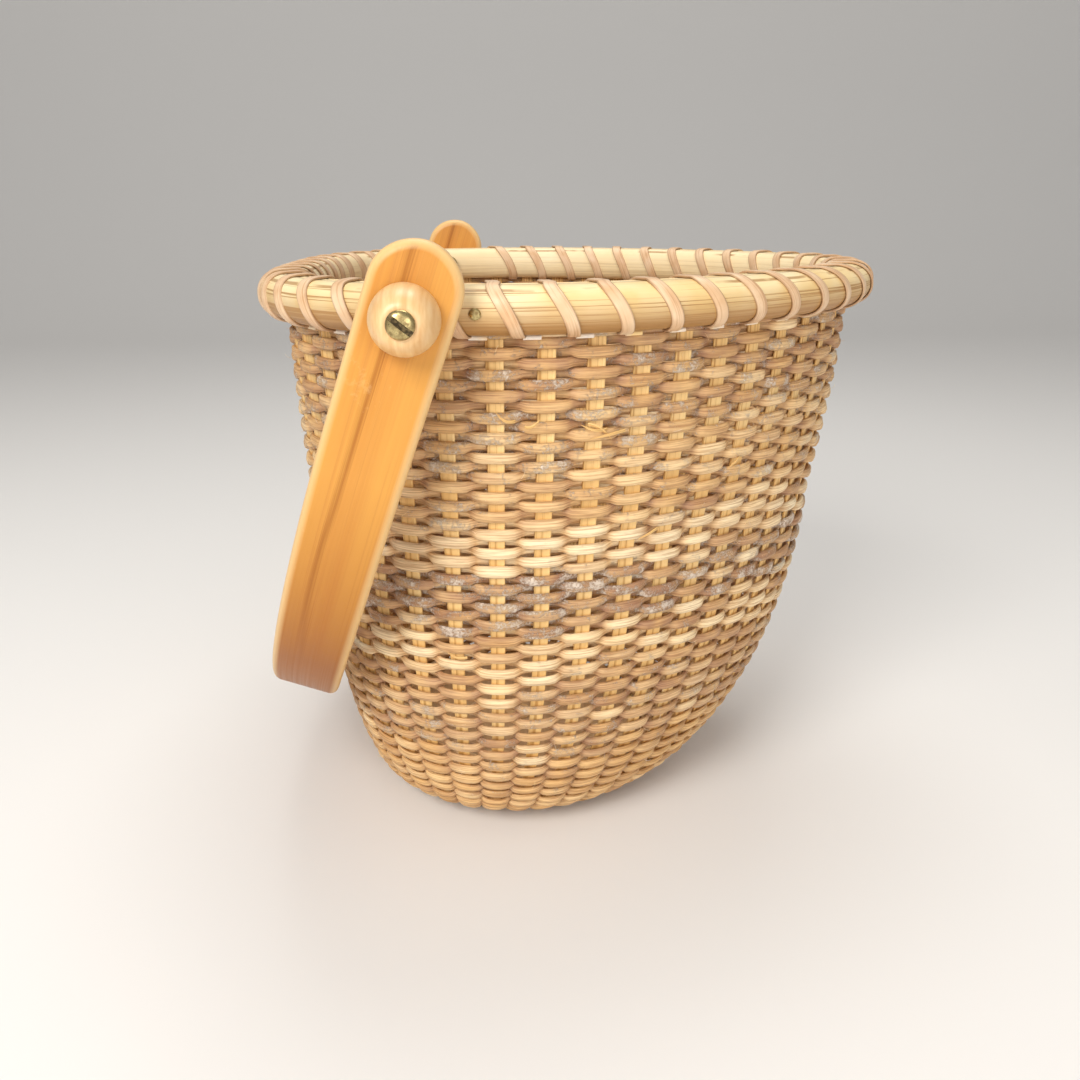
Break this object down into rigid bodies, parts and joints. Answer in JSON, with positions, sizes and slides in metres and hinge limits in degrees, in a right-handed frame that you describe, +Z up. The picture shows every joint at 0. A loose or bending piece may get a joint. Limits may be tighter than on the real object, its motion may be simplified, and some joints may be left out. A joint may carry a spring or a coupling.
{
  "type": "nantucket basket",
  "caption": "Woven cane basket with a wooden base, a lashed half-round rim and a bent-wood bail handle that swings on bolts with turned knobs.",
  "frame": {"origin": "middle of the base board's underside, on the floor", "axes": "+Z up; +Y along the handle's pivot line, from the near pivot to the far one; +X to the fuller side of the basket, away from where the handle hangs"},
  "size_m": [0.2018, 0.2604, 0.1893],
  "materials": {
    "maple": "satin honey-coloured hardwood",
    "base_wood": "satin oiled wood",
    "splint": "golden cane splint with fine grain",
    "weaver_cane": "matt aged cane",
    "start_cane": "matt golden cane",
    "rattan": "satin half-round rattan",
    "binding_cane": "satin flat cane",
    "brass": "dull aged brass"
  },
  "bodies": {
    "basket": {"back_lashing": "binding_cane", "base_board": "base_wood", "base_plug": "maple", "far_bolt": "brass", "far_burr": "brass", "far_knob": "maple", "far_nail": "brass", "far_spacer": "maple", "front_lashing": "binding_cane", "inner_hoop": "rattan", "lower_wall": "weaver_cane", "near_bolt": "brass", "near_burr": "brass", "near_knob": "maple", "near_nail": "brass", "near_spacer": "maple", "outer_hoop": "rattan", "rim_band": "weaver_cane", "rim_filler": "rattan", "start_rows": "start_cane", "staves": "splint", "turned_wall": "weaver_cane", "woven_wall": "weaver_cane"},
    "handle": {"handle": "maple"}
  },
  "joints": [
    {"name": "handle_swing", "type": "hinge", "parent": "basket", "child": "handle", "pos_m": [-0.02547, 0, 0.17155], "axis": [0, 1, 0], "range_deg": [0, 243]}
  ]
}
